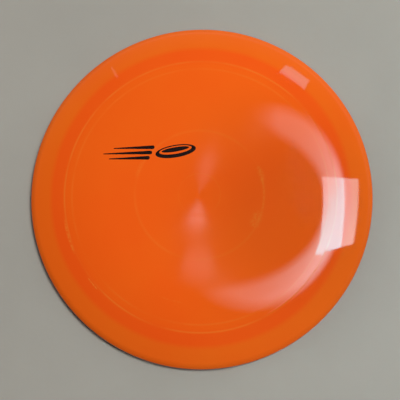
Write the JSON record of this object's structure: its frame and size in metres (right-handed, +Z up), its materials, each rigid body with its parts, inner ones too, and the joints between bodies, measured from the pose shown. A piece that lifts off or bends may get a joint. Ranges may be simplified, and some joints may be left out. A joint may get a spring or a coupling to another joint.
{
  "type": "golf disc",
  "caption": "Round golf disc, a flying disc for a lawn game: a thin domed flight plate inside a wide wing-shaped rim with a rounded nose, open underneath, and a small dark stamp on top.",
  "frame": {"origin": "on the disc's axis, on the plane that the rim's foot ring stands on, which is the bottom centre of its box", "axes": "+Z up along the disc's axis, out of the domed side; +X to the right and +Y to the back as the stamp is read, with the stamp left of and behind the axis"},
  "size_m": [0.211, 0.211, 0.018],
  "materials": {
    "orange_plastic": "gloss",
    "black_foil": "satin"
  },
  "bodies": {
    "root": {"flight_plate": "orange_plastic", "rim": "orange_plastic", "gate_nub": "orange_plastic", "stamp_disc": "black_foil", "stamp_streak_1": "black_foil", "stamp_streak_2": "black_foil", "stamp_streak_3": "black_foil"}
  },
  "joints": []
}
